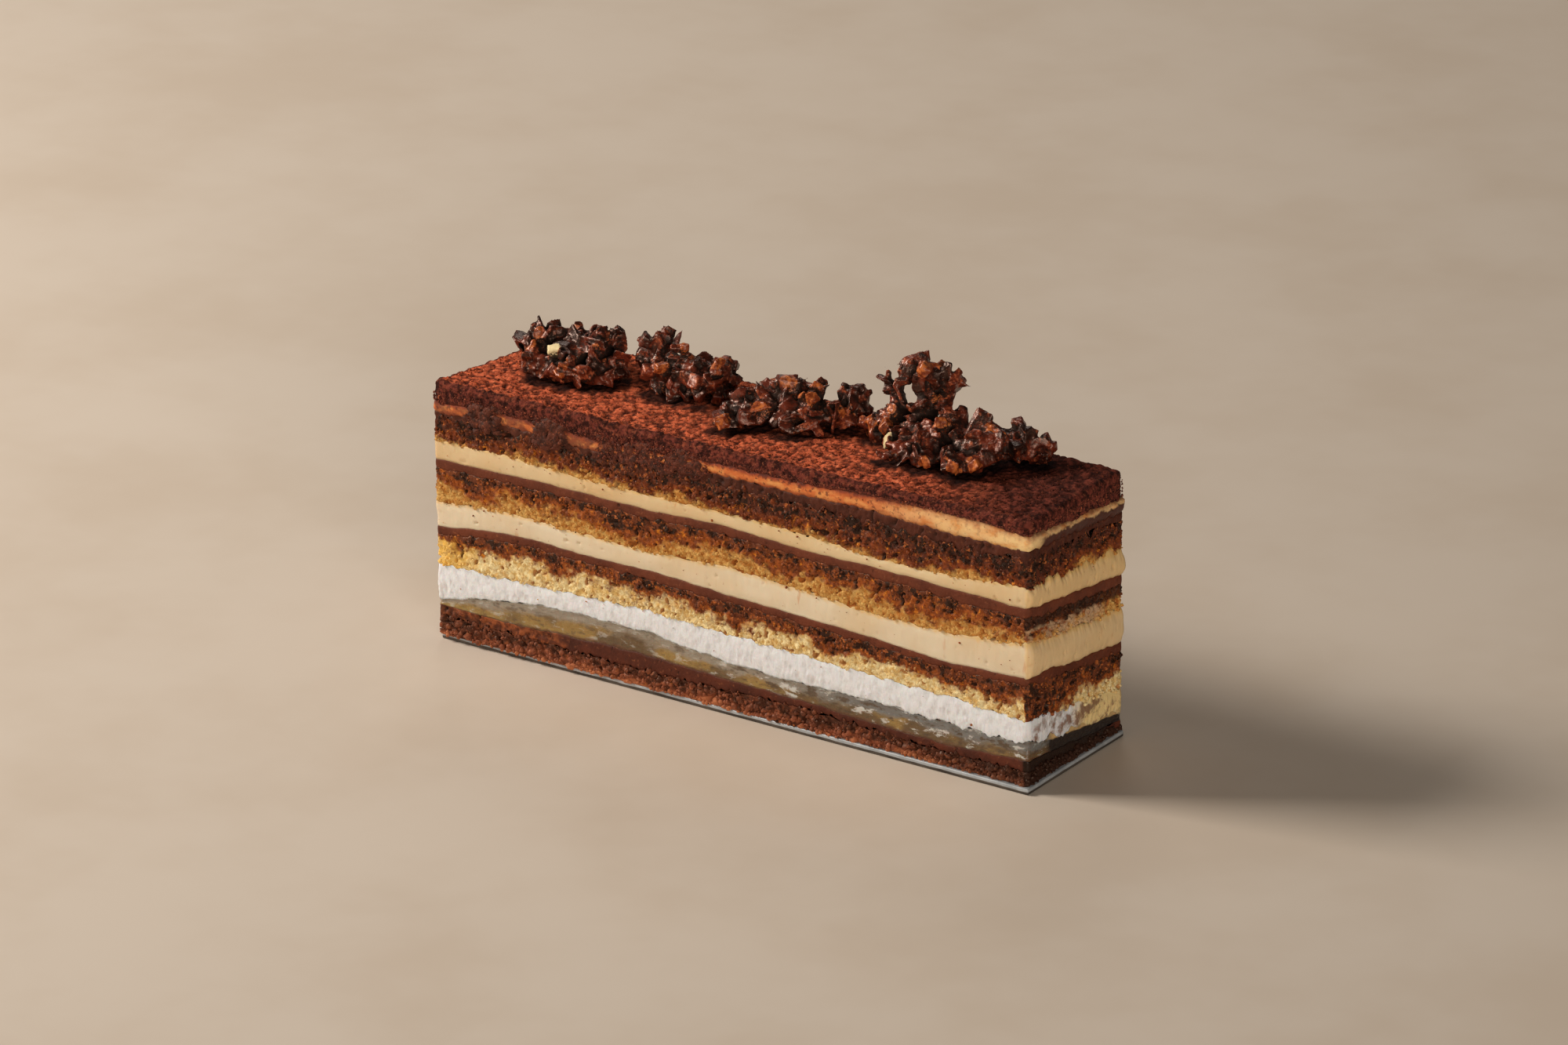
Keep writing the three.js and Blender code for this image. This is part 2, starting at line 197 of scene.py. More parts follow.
# %% Finishes
class Finish:
    """One material. The sizes in its patterns are in millimetres."""

    def __init__(self, name, colour, shine=0.5, tint=(1, 1, 1), sockets={}):
        self.material = bpy.data.materials.new(name)
        self.material.use_nodes = True
        self.tree = self.material.node_tree
        self.shader = self.tree.nodes["Principled BSDF"]
        fixed = {"Specular IOR Level": shine, "Specular Tint": (*tint, 1), **sockets}
        for socket, value in fixed.items():
            self.shader.inputs[socket].default_value = value
        self.colour = colour
        self.place = self.node("ShaderNodeTexCoord", output="Object")
        parts = [self.node("ShaderNodeSeparateXYZ", {}, {"Vector": self.place}, i) * 1000 for i in range(3)]
        self.along, self.deep, self.height = parts

    def node(self, kind, settings={}, inputs={}, output=0):
        made = self.tree.nodes.new(kind)
        for key, value in settings.items():
            setattr(made, key, value)
        for key, value in inputs.items():
            if isinstance(value, Shade):
                self.tree.links.new(value.socket, made.inputs[key])
            else:
                made.inputs[key].default_value = value
        return Shade(self, made.outputs[output])

    def stretched(self, stretch=(1, 1, 1), shift=0.0):
        return self.node("ShaderNodeMapping", {}, {"Vector": self.place, "Scale": stretch, "Location": (shift,) * 3})

    def cloud(self, size, detail=2, rough=0.5, stretch=(1, 1, 1), shift=0.0):
        inputs = {"Vector": self.stretched(stretch, shift), "Scale": 1000 / size, "Detail": detail, "Roughness": rough}
        return self.node("ShaderNodeTexNoise", {}, inputs)

    def sway(self, width, *pattern, **more):
        """A cloud that goes as far below 0 as above it."""
        return (self.cloud(*pattern, **more) - 0.5) * width

    def cells(self, size):
        return self.node("ShaderNodeTexVoronoi", {}, {"Vector": self.stretched(), "Scale": 1000 / size})

    def carried(self, name):
        """A number that the mesh carries at each point."""
        return self.node("ShaderNodeAttribute", {"attribute_name": name}, output="Fac")

    def mix(self, one, other, share):
        """Two colours mixed. Each is a Shade or three screen numbers."""
        one, other = [paint(c) if isinstance(c, tuple) else c for c in (one, other)]
        return self.node("ShaderNodeMix", {"data_type": "RGBA"}, {0: share, 6: one, 7: other}, 2)

    def cover(self, colour, share):
        """Lays a colour over those that are there."""
        self.colour = self.mix(self.colour, colour, share)
        self.feed("Base Color", self.colour)

    def bump(self, height, depth, strength):
        """Relief too fine for the mesh: depth is in millimetres."""
        inputs = {"Height": height, "Distance": depth * MM, "Strength": strength}
        self.feed("Normal", self.node("ShaderNodeBump", {}, inputs))

    def feed(self, socket, shade):
        self.tree.links.new(shade.socket, self.shader.inputs[socket])


print("finishes ready")

# %% [markdown]
# ## The table
#
# The table is only a stage for the slice: a large plain sheet with a faint mottle.

# %% Table
table_top = Finish("table_stone", (221, 205, 187), 0.3, sockets={"Roughness": 0.75})
table_top.cover((214, 196, 176), table_top.cloud(60, 4, 0.6).mask(0.35, 0.7))
sheet = bmesh.new()
bmesh.ops.create_grid(sheet, x_segments=2, y_segments=2, size=6)
table = add("table", mesh_of("table", sheet))
table.data.materials.append(table_top.material)
print("table laid")

# %% [markdown]
# ## Reading the seams
#
# Every layer of the frame is a slab whose top and bottom follow the seams. A ray dropped on a slab tells how high
# its top lies there, and a ray from below finds its underside. A seam is the middle of the small gap between two
# slabs.
#
# A seam also wanders by itself: a crumb's edge is ragged and a ganache's is smooth. The knife was pressed down
# through the right end face, so there the seams are wilder.

# %% Seams
# How far the seam on each layer wanders, over what length, in mm, and how many times further at the right end.
WANDERS = {
    "base_sponge": (0.8, 1.4, 1.2), "base_ganache": (0.25, 3.0, 1.2), "jelly": (0.35, 2.2, 1.2),
    "white_cream": (0.5, 1.8, 1.8), "sponge_low": (0.6, 2.0, 1.2), "ganache_low": (0.16, 3.5, 3.0),
    "cream_low": (0.42, 1.5, 1.8), "sponge_middle": (0.6, 2.0, 1.2), "ganache_middle": (0.16, 3.5, 3.0),
    "cream_middle": (0.42, 1.5, 2.6), "sponge_high": (1.1, 1.3, 1.2), "ganache_high": (0.4, 1.6, 1.2),
    "cream_high": (0.42, 1.8, 1.2),
}
LAYERS = [*WANDERS, "cocoa_top"]
INSIDE = 0.9  # mm that a ray is kept in from the cut face
END = 57  # mm along, where the right end face begins


def tree_of(mesh):
    """The mesh in millimetres, made ready for rays."""
    points = [v.co / MM for v in mesh.vertices]
    return BVHTree.FromPolygons(points, [tuple(p.vertices) for p in mesh.polygons])


solid = {name: tree_of(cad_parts[name].data) for name in LAYERS}


def hit(name, x, y, down=True):
    """The height at which a ray from above or from below meets a slab."""
    start = Vector((x, y, 90 if down else -10))
    return solid[name].ray_cast(start, Vector((0, 0, -1 if down else 1)))[0].z


def seam_above(index, x, y):
    """The height of the seam on layer number index, in mm."""
    return (hit(LAYERS[index], x, y) + hit(LAYERS[index + 1], x, y, False)) / 2


def ragged(index, x, y):
    """How far the same seam wanders there."""
    reach, length, at_end = WANDERS[LAYERS[index]]
    if LAYERS[index] == "jelly":
        reach *= 1 + 1.5 * clamp((x - 15) / 25)
    if x > END:
        reach *= at_end
    return reach * noise.fractal(Vector((x / length, y / length, index * 7.3)), 0.9, 2.2, 3)


print("seams at the middle of the front, mm:", [round(seam_above(i, 0, -13), 1) for i in range(len(WANDERS))])

# %% [markdown]
# ## The way round the cake
#
# Each layer shows on the four cut faces. So we need the line that the knife followed: the corners of a slab, a
# little rounded, walked in steps of a fifth of a millimetre. At each step we note which way is out, and how high
# each seam lies.

# %% The knife's line
STEP = 0.2  # mm
CORNER_RADIUS = 0.7  # mm


def corner(way_x, way_y):
    points = [v.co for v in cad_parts["ganache_middle"].data.vertices]
    far = max(points, key=lambda p: way_x * p.x + 3 * way_y * p.y)
    return Vector((far.x, far.y)) / MM


corners = [corner(-1, -1), corner(1, -1), corner(1, 1), corner(-1, 1)]


def rounded(points, radius):
    line = []
    for i, here in enumerate(points):
        before = (points[i - 1] - here).normalized() * radius
        after = (points[(i + 1) % len(points)] - here).normalized() * radius
        line += [here + before * (1 - t) ** 2 + after * t**2 for t in (0, 0.2, 0.4, 0.6, 0.8, 1)]
    return line


def walk(line, step):
    """Points an equal step apart on a closed line, each with its way out."""
    ends = line[1:] + line[:1]
    length = sum((b - a).length for a, b in zip(line, ends))
    count = round(length / step)
    stride, due, passed, steps = length / count, 0.0, 0.0, []
    for a, b in zip(line, ends):
        side = (b - a).length
        while due < passed + side - 1e-9 and len(steps) < count:
            steps.append((a.lerp(b, (due - passed) / side), Vector((b.y - a.y, a.x - b.x)).normalized()))
            due += stride
        passed += side
    return steps


way = walk(rounded(corners, CORNER_RADIUS), STEP)
print("steps round the cake:", len(way))

# %% Seams along the way
LEAST = 0.25  # mm: no layer gets thinner than this
CARD_TOP = 1.12  # mm: the lowest sponge lies on the card
levels, seams = [[CARD_TOP] * len(way)], [[CARD_TOP] * len(way)]  # smooth heights and ragged ones
for index in range(len(WANDERS)):
    level, row = [], []
    for k, (p, out) in enumerate(way):
        inner = p - out * INSIDE
        level.append(seam_above(index, inner.x, inner.y))
        row.append(max(level[-1] + ragged(index, p.x, p.y), seams[-1][k] + LEAST))
    levels.append(level)
    seams.append(row)
print("heights at the left front corner, mm:", [round(row[0], 1) for row in seams])

# %% [markdown]
# ## Winding a layer
#
# Only the cut faces of a layer show. So a flat grid is wound round the cake like a ribbon: its left and right
# ends meet and are merged, its lower edge lies on one seam and its upper edge on the next. Then each point is
# pushed in or out by the layer's own relief, and both openings are filled.
#
# The mesh also carries two numbers for the material: `rise`, from 0 at the lower seam to 1 at the upper one, and
# `pit`, which says how deep in a pore a point lies. The materials paint shade where `pit` is high.

# %% Ribbon
SEAM_FADE = 0.4  # mm from a seam over which the relief fades out
SEAM_PUSH = 0.06  # mm that every face stands out at its seams


def piece(name, bm, finish, slot, *replaced):
    """Turns a finished bmesh in millimetres into a piece of the model."""
    bmesh.ops.recalc_face_normals(bm, faces=bm.faces)
    bmesh.ops.scale(bm, vec=(MM,) * 3, verts=bm.verts)
    for face in bm.faces:
        face.smooth = True
    thing = add(name, mesh_of(name, bm))
    thing.data.materials.append(finish.material)
    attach(thing, "root")
    if replaced:
        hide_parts(*replaced)
    print(name, len(thing.data.polygons), "faces")


def grid(columns, rows, *carried):
    """A flat grid from -1 to 1 both ways, and the numbers that its points are going to carry."""
    bm = bmesh.new()
    numbers = [bm.verts.layers.float.new(name) for name in carried]
    bmesh.ops.create_grid(bm, x_segments=columns, y_segments=rows, size=1)
    return bm, *numbers


def at_step(k, height):
    """The place on the knife's line at step k, and the way out there."""
    p, out = way[k]
    return Vector((p.x, p.y, height)), out.to_3d()


def ribbon(index, relief, row_height):
    low, high = seams[index], seams[index + 1]
    count = len(way)
    rows = max(3, round((sum(high) - sum(low)) / count / row_height))
    bm, rise, pit = grid(count, rows, "rise", "pit")
    for v in bm.verts:
        k = round((v.co.x + 1) / 2 * count) % count
        t = (v.co.y + 1) / 2
        place, out = at_step(k, low[k] + (high[k] - low[k]) * t)
        push, v[pit] = relief(place, t, out)
        grip = min(1, min(t, 1 - t) * (high[k] - low[k]) / SEAM_FADE)
        v[rise] = (place.z - levels[index][k]) / (levels[index + 1][k] - levels[index][k])
        v.co = place + out * (push * grip + SEAM_PUSH * (1 - grip))
    bmesh.ops.remove_doubles(bm, verts=[v for v in bm.verts if v.is_boundary], dist=0.0005)
    bmesh.ops.holes_fill(bm, edges=bm.edges[:], sides=0)
    return bm


def wind(index, relief, row_height, finish, slot):
    """Puts the wound layer in the place of its solid."""
    node = LAYERS[index]
    piece(node + "_cut", ribbon(index, relief, row_height), finish, slot, node)


print("ribbon helpers ready")

# %% [markdown]
# ## Kinds of cut face
#
# Sponge breaks along its bubbles, so its face is a foam of thin walls and pits, with some large holes. Butter
# cream is sliced clean and bulges a little. Ganache is smooth, unless crumb sticks to it. White cream and jelly
# are torn by the knife. Each kind is one function of the place on the face, which says how far the face is pushed
# out there, in millimetres, and how deep its pore is.


# %% Reliefs
def soft_edge(t):
    """1 in the middle of a layer and 0 at its seams."""
    return 1 - abs(2 * t - 1) ** 3


def squashed(place, across, up):
    """The place for a pattern whose lumps are that wide and that high."""
    return Vector((place.x / across, place.y / across, place.z / up))


def crumb(place, t, out):
    foam = noise.voronoi(place / 0.95)[0]
    wall = min(1, (foam[1] - foam[0]) * 2.2)
    lump = noise.fractal(place / 2.2, 0.7, 2.1, 3)
    hole = max(0, noise.noise(place / 1.15 + Vector((9, 4, 2))) - 0.28) * 2.4
    rough = min(1, (1 - t) * 3.5)
    deep = (0.2 * wall + min(0.7, hole)) * (0.25 + 0.75 * rough)
    return 0.14 + 0.24 * lump * rough + 0.06 * noise.noise(place / 0.45) - deep, min(1, deep * 1.6)


def lumpy(place, t, out):
    """The damp crumb of the base, pressed into lumps."""
    cell = noise.voronoi(squashed(place, 2.0, 1.5))[0]
    crack = min(1, (cell[1] - cell[0]) * 1.8)
    push, pit = crumb(place, t, out)
    hole = max(0, noise.noise(place / 1.5 + Vector((2, 8, 5))) - 0.42) * 3
    loose = clamp(0.55 + 1.5 * noise.noise(Vector((place.x / 14, place.y / 14, 3 - t))), 0.25)
    push = push * 0.6 * loose + 0.46 * crack * soft_edge(t) * loose - 0.16 * loose - min(0.5, hole)
    return push, min(1, (pit * 0.5 + (1 - crack) * 0.75) * loose + hole)


def buttered(place, t, out):
    swell = 0.1 * noise.noise(squashed(place, 6, 2))
    notch = max(0, noise.noise(squashed(place, 1.3, 0.5)) - 0.55) * 1.3
    ripple = 0.03 * noise.fractal(squashed(place, 1.2, 3), 0.7, 2, 3)
    bulge = 0.2 + 0.4 * max(0, out.x)
    return bulge * soft_edge(t) + 0.02 + swell * (1 + 2 * abs(out.x)) + ripple - notch, min(1, notch * 4)


def smooth_set(place, t, out):
    swell = 0.05 * noise.noise(place / 3) + 0.035 * noise.fractal(place / 0.7, 0.7, 2.1, 3)
    prick = max(0, noise.noise(place / 0.55 + Vector((5, 1, 7))) - 0.55) * 0.7
    return 0.1 + 0.05 * soft_edge(t) + swell - prick, min(1, prick * 5)


def crumbed(place, t, out):
    """The ganache on the base. At the left end the damp crumb of the base lies over it."""
    share = clamp((-31 - place.x + 8 * noise.noise(place / 3)) / 5)
    return [a + (b - a) * share for a, b in zip(smooth_set(place, t, out), lumpy(place, t, out))]


def grainy(place, t, out):
    """Ganache with crumb dragged over it."""
    push, pit = crumb(place, 0, out)
    return 0.06 + push * 0.6, pit * 0.7


def streaked(place, t, out):
    tear = noise.fractal(squashed(place, 0.8, 1.9), 0.6, 2.1, 3)
    torn = clamp(noise.noise(place / 7) * 1.6 + (0.5 - t) * 1.4, 0.15)
    lump = noise.fractal(place / 2.2, 0.7, 2.1, 3)
    return 0.14 * tear * torn + 0.1 * lump + 0.16 * soft_edge(t) + 0.04, max(0, -tear * torn)


def jellied(place, t, out):
    wave = noise.fractal(squashed(place, 3.0, 1.1), 0.7, 2.1, 3)
    return -0.05 + 0.13 * wave + 0.06 * noise.noise(place / 0.7), max(0, -wave)


print("reliefs ready")

# %% [markdown]
# ## The colours of sponge
#
# A soaked sponge isn't one brown. Coffee runs down from its top, so the top is dark and wet, and the bottom
# stays golden. The border between them is uneven, because the crumb drinks here more and there less. The
# material covers the dry crumb with rusty and with soaked crumb by the height in the layer. It also paints shade
# into the pores, and painted shade and highlights onto the wet crumb.


# %% Sponge finish
def sponge_finish(
    name, dry_till, rust_till, pale, golden, rust, soaked, gloom=0.85, pores=0.88, flecks_and_highlights=0.75, amber=1.0,
    wet_corner=0.3, left_syrup=0.0, end_smear=0.0, end_dark=0.0, dark_right=0.0,
):
    """From 0 at its foot to 1 at its top, the crumb is dry up to dry_till and rusty up to rust_till."""
    f = Finish(name, golden, 0.35, (1.0, 0.8, 0.6))
    rise, pit = f.carried("rise"), f.carried("pit")
    end = f.along.mask(56.6, 57.4)
    drink = rise + f.sway(1.2, 11) + f.sway(1.0, 2.8, 3, 0.6) + f.sway(0.5, 0.9)
    drink = drink + end * f.deep.mask(4, -6) * wet_corner
    fine = f.cloud(0.9, 4, 0.65).mask(0.36, 0.62)
    f.cover(pale, fine)
    f.cover(f.mix(golden, rust, 0.5), f.cloud(1.4, 4, 0.7, shift=5.0).mask(0.45, 0.65) * 0.35)
    honey = f.cloud(0.9, 3, 0.7, shift=8.0).mask(0.57, 0.68) * amber
    wet = drink.mask(dry_till - 0.12, dry_till + 0.14)
    f.cover(f.mix(f.mix(rust, soaked, fine * 0.8), (208, 122, 32), honey), wet)
    # Over the soaked crumb go darker and lighter patches: its uneven tone, and painted shade and painted highlights of
    # its wet lumps.
    top = f.mix(soaked, f.mix(soaked, rust, 0.85), f.cloud(1.2, 4, 0.7, shift=2.0).mask(0.5, 0.64))
    top = f.mix(top, f.mix(soaked, (18, 7, 4), gloom), f.cloud(1.5, 3, 0.7, shift=6.0).mask(0.47, 0.56))
    top = f.mix(top, (196, 108, 52), f.cloud(1.0, 3, 0.7, shift=13.0).mask(0.58, 0.66) * flecks_and_highlights)
    f.cover(top, drink.mask(rust_till - 0.1, rust_till + 0.12))
    # Painted shade in the pores and cracks, darkest where the crumb is wet.
    hollow = f.mix(f.mix(golden, rust, 0.75), (40, 16, 8), drink.mask(dry_till - 0.1, dry_till + 0.2))
    f.cover(hollow, pit.mask(0.18, 0.62) * pores)
    sunny = (f.along + f.sway(10, 6, 3)).mask(-49, -55) * drink.mask(rust_till, dry_till - 0.1)
    f.cover((236, 184, 78), sunny * (f.deep + f.sway(6, 4)).mask(-6, -11) * left_syrup)
    low_half = (rise + f.sway(0.5, 2)).mask(0.66, 0.54) * f.deep.mask(10, 6)
    f.cover((186, 152, 116), end * low_half * f.cloud(3, 4, 0.6, shift=4.0).mask(0.36, 0.52) * end_smear)
    right = (f.along + f.sway(12, 5, 3)).mask(26, 56)
    f.cover((40, 17, 9), (right * 0.6).most(end) * dark_right)
    f.cover((38, 16, 8), end * (rise + f.sway(0.9, 2.4, 3, shift=2.0)).mask(0.42, 0.66) * end_dark)
    f.feed("Roughness", 0.88 - wet * f.cloud(0.9, 3, 0.6, shift=9.0).mask(0.4, 0.6) * 0.45)
    f.bump(f.cloud(0.4, 3, 0.65) + f.cells(0.5) * 0.5, 0.12, 0.8)
    return f


TOASTED, RUST_SOAKED = ((216, 172, 98), (182, 118, 50)), ((158, 78, 26), (102, 50, 28))
BASE_CRUMB = ((178, 106, 68), (178, 106, 68), (148, 80, 52), (104, 54, 35))
sponges = {
    0: sponge_finish(
        "base_sponge_crumb", 0.05, 0.5, *BASE_CRUMB, gloom=0.55, pores=0.55, flecks_and_highlights=0.2, amber=0.25, dark_right=0.95
    ),
    4: sponge_finish(
        "sponge_low_crumb", 0.46, 0.7, (240, 220, 166), (212, 172, 102), *RUST_SOAKED, left_syrup=0.7, wet_corner=0.85
    ),
    7: sponge_finish("sponge_middle_crumb", 0.32, 0.66, *TOASTED, *RUST_SOAKED, end_smear=0.85, end_dark=0.75),
    10: sponge_finish("sponge_high_crumb", 0.1, 0.5, *TOASTED, (132, 60, 24), (84, 37, 22)),
}
print("sponge finishes:", len(sponges))

# %% Sponge layers
wind(0, lumpy, 0.2, sponges[0], "chocolate_sponge")
for index in (4, 7, 10):
    wind(index, crumb, 0.22, sponges[index], "sponge")

# %% [markdown]
# ## Ganache
#
# Ganache is chocolate melted in cream. It sets smooth and keeps a dull shine. It is never one flat brown, because
# the knife drags a little crumb over it.


# %% Ganache
def ganache_finish(name, bright, dark, crumb_at_left=0.0):
    f = Finish(name, bright, 0.3, (1.0, 0.8, 0.65))
    f.cover(dark, f.cloud(5, 4, 0.6).mask(0.3, 0.7))
    f.cover(f.mix(bright, (190, 116, 72), 0.35), f.cloud(0.7, 3, 0.6).mask(0.58, 0.74) * 0.7)
    f.cover(f.mix(dark, (30, 14, 9), 0.5), f.cloud(0.9, 4, 0.7, shift=3.0).mask(0.58, 0.7) * 0.7)
    lump = f.mix((160, 84, 44), (98, 45, 25), f.cloud(1.3, 4, 0.7, shift=7.0).mask(0.42, 0.6))
    f.cover(lump, (f.along + f.sway(14, 3, 3)).mask(-31, -36) * crumb_at_left)
    wet_end = f.along.mask(56.4, 57) * f.height.mask(9, 7) * f.deep.mask(12, 8)
    f.cover((22, 10, 6), wet_end * 0.93)
    # Painted shade in the small pricks.
    f.cover((40, 20, 14), f.carried("pit"))
    f.feed("Roughness", 0.5 + f.cloud(1.5, 3) * 0.3 - wet_end * 0.3)
    f.bump(f.cloud(0.5, 3, 0.6), 0.1, 0.8)
    return f


wind(1, crumbed, 0.25, ganache_finish("base_ganache", (90, 40, 24), (66, 28, 18), 1.0), "ganache")
milk_ganache = ganache_finish("milk_ganache", (108, 52, 31), (88, 40, 24))
wind(5, smooth_set, 0.25, milk_ganache, "ganache")
wind(8, smooth_set, 0.25, milk_ganache, "ganache")
wind(11, grainy, 0.25, ganache_finish("dark_ganache", (86, 38, 23), (66, 28, 18)), "ganache")

# %% [markdown]
# ## Butter cream
#
# Butter cream is pale yellow and smooth, with a few small air holes. The knife leaves faint upright smears of
# syrup on it and a few brown specks. Light sinks in a little, so it gets some subsurface scattering.


# %% Butter cream
BUTTERY = {"Subsurface Weight": 0.1, "Subsurface Scale": 0.002}


def cream_finish(name, pale, deep):
    f = Finish(name, pale, 0.35, sockets=BUTTERY)
    f.cover(deep, f.cloud(14, 3).mask(0.3, 0.7))
    f.cover((228, 188, 128), f.along.mask(56.8, 57.6) * 0.7)
    drip = f.cloud(1.3, 3, 0.6, (1, 1, 0.2), 2.0).mask(0.6, 0.74) * f.cloud(9, shift=7.0).mask(0.54, 0.62)
    f.cover((196, 120, 60), drip * 0.5)
    f.cover((160, 84, 34), f.cloud(0.5, 1, shift=4.0).mask(0.76, 0.8) * 0.8)
    rise = f.carried("rise") + f.sway(0.3, 1.2, 3)
    f.cover((222, 176, 104), rise.mask(0.82, 1.0) * 0.7)
    # Painted shade in the notches.
    f.cover((190, 140, 84), f.carried("pit") * 0.3)
    f.feed("Roughness", 0.42 + f.cloud(3, 3) * 0.25)
    f.bump(f.cloud(0.9, 4, 0.6, (1, 1, 0.5)), 0.05, 0.5)
    return f


wind(6, buttered, 0.3, cream_finish("butter_cream", (224, 205, 174), (216, 189, 150)), "cream")
wind(9, buttered, 0.3, cream_finish("yellow_butter_cream", (220, 192, 148), (212, 176, 126)), "cream")

# %% Butter cream under the top
# Orange with syrup at the left, and yellow at the right.
f = Finish("stained_cream", (206, 108, 50), 0.35, sockets=BUTTERY)
f.cover((226, 148, 80), f.cloud(2.4, 4, 0.6, (1, 1, 1.6)).mask(0.42, 0.66))
light = (f.along + f.sway(30, 9, 3)).mask(22, 56)
f.cover(f.mix((240, 200, 138), (222, 152, 82), f.cloud(3, 4, 0.6, (1, 1, 1.6)).mask(0.45, 0.7)), light)
rise = f.carried("rise") + f.sway(0.7, 1.5, 4, 0.6)
f.cover((156, 68, 32), rise.mask(0.5, 0.85) * (1 - light * 0.6))
f.cover((92, 38, 22), rise.mask(0.76, 1.0) * (1 - light * 0.3))
f.cover((150, 66, 30), rise.mask(0.3, 0.02) * 0.7 * (1 - light))
dull = (f.along + f.sway(16, 6, 3)).mask(-12, -26)
f.cover((112, 50, 30), dull * f.cloud(2.2, 4, 0.65, shift=11.0).mask(0.34, 0.56) * 0.8)
fleck = f.cloud(1.0, 4, 0.7, shift=15.0).mask(0.54, 0.62) * (1 - light * 0.8)
f.cover((88, 38, 24), fleck * 0.75)
dragged = rise.mask(0.75, 0.55) * f.along.mask(57, 57.4)
f.cover((74, 34, 22), dragged * (f.deep + f.sway(3, 3, 3)).mask(-12.6, -9.5))
f.feed("Roughness", 0.45 + f.cloud(3, 3) * 0.25)
f.bump(f.cloud(0.9, 4, 0.6), 0.08, 0.6)
wind(12, buttered, 0.25, f, "cream")

# %% [markdown]
# ## White cream and jelly
#
# The white cream is light and dry, and the knife tears it into upright streaks. The jelly under it is cloudy:
# grey where it is thick, olive where the fruit shows through.

# %% White cream
airy = {"Roughness": 0.75, "Subsurface Weight": 0.15, "Subsurface Scale": 0.002}
f = Finish("white_cream", (209, 206, 204), sockets=airy)
tear = f.cloud(0.9, 4, 0.6, (1, 1, 0.5))
f.cover((227, 225, 224), tear.mask(0.3, 0.55))
f.cover((238, 204, 138), f.along.mask(54, 57) * (f.deep + f.sway(8, 4, 3)).mask(-2, 4))
stain = f.cloud(2.5, 4, 0.65, shift=9.0).mask(0.46, 0.62) * f.along.mask(56.8, 57.4) * f.height.mask(14, 9)
f.cover((126, 84, 56), stain * 0.9)
# Painted shade in the torn grooves.
f.cover((186, 172, 158), f.carried("pit") * 0.35)
f.bump(tear + f.cloud(0.35, 3, 0.6, (1, 1, 0.6)) * 0.5, 0.16, 0.8)
wind(3, streaked, 0.25, f, "white_cream")

# %% Jelly
f = Finish("cloudy_jelly", (102, 78, 48), 0.6, sockets={"Subsurface Weight": 0.25, "Subsurface Scale": 0.003})
rise = f.carried("rise")
fruity = f.cloud(8, 2, 0.5, (1, 1, 1.5), 5.0) + f.along.mask(-20, -34) * 0.1
f.cover((148, 116, 60), fruity.mask(0.44, 0.62))
grey = f.mix((146, 132, 114), (116, 112, 106), f.along.mask(0, 30))
f.cover(grey, (rise + f.sway(1.1, 6, 3, 0.6, (1, 1, 2.5))).mask(0.35, 0.7))
at_right = (f.along + f.sway(20, 9)).mask(-12, 14)
torn = f.cloud(3.2, 4, 0.65, (1, 1, 2.2), 1.0)
f.cover((84, 64, 44), torn.mask(0.47, 0.36) * (0.55 + at_right * 0.35))
f.cover((206, 200, 190), torn.mask(0.54, 0.63) * (0.35 + at_right * 0.5))
edge = rise + f.sway(0.2, 1.2)
# Painted shade along the top, under the white cream.
f.cover((82, 72, 58), edge.mask(0.9, 1.0) * 0.35)
f.cover((104, 62, 36), edge.mask(0.14, 0.02) * 0.7)
syrup = f.mix((26, 12, 7), (198, 158, 102), (rise + f.sway(0.6, 2.5, 3)).mask(0.75, 0.9))
f.cover(syrup, f.along.mask(56.4, 57) * (f.deep + f.sway(5, 3, 3)).mask(-9, -7))
f.feed("Roughness", 0.22 + f.cloud(2.5, 3) * 0.3)
f.bump(torn, 0.35, 0.9)
wind(2, jellied, 0.3, f, "jelly")

# %% [markdown]
# ## The cocoa top
#
# The top shows its whole face, so it starts as a fine flat grid instead of a ribbon. The grid's border is then
# extruded outwards and down, ring by ring, over a rounded rim to the seam. The powder lies in small clumps, and
# the chocolate under it waves a little.

# %% Cocoa sheet
TOP_LENGTH, TOP_WIDTH, TOP_HIGHEST = 115, 26, 46.5  # mm
GRAIN_STEP = 0.25  # mm
RIM, RIM_DROP, SIDE_ROWS = 1.4, 0.77, 9  # how far in and down the rounded rim goes, in mm, and the rows under it
# Round each cluster the top is painted dark: painted shade of the cluster, and the stain of its melted chocolate.
SHELTER = 3.2  # mm round a cluster that its melted chocolate and its shade keep dark
cluster_trees = [tree_of(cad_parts[f"nut_cluster_{number}"].data) for number in (1, 2, 3, 4)]


def in_footprint(u, v, inset):
    """A place on the top, from -1 to 1 each way, kept in from the knife's line."""
    a, b, c, d = corners
    front, back = a.lerp(b, (u + 1) / 2), d.lerp(c, (u + 1) / 2)
    return front.lerp(back, (v + 1) / 2) - Vector((u, v)) * inset


def clumps(place):
    pebble = 0.45 - noise.voronoi(place / 0.95)[0][0]
    clump = noise.fractal(place / 1.6, 0.7, 2.1, 3)
    wave = noise.noise(place / 9)
    dimple = max(0, noise.noise(place / 1.1 + Vector((4, 4, 4))) - 0.42)
    near_front = clamp((-6 - place.y) / 6)
    push = (0.4 + 0.2 * near_front) * pebble + 0.24 * clump + 0.14 * wave - 0.6 * dimple
    return push, clamp(0.25 - pebble * 1.4 + dimple * 2)


def shelter_at(place):
    """1 where a nut cluster touches the top, and 0 from a few millimetres away."""
    near = min(tree.find_nearest(place)[3] for tree in cluster_trees)
    return max(0, 1 - near / SHELTER)


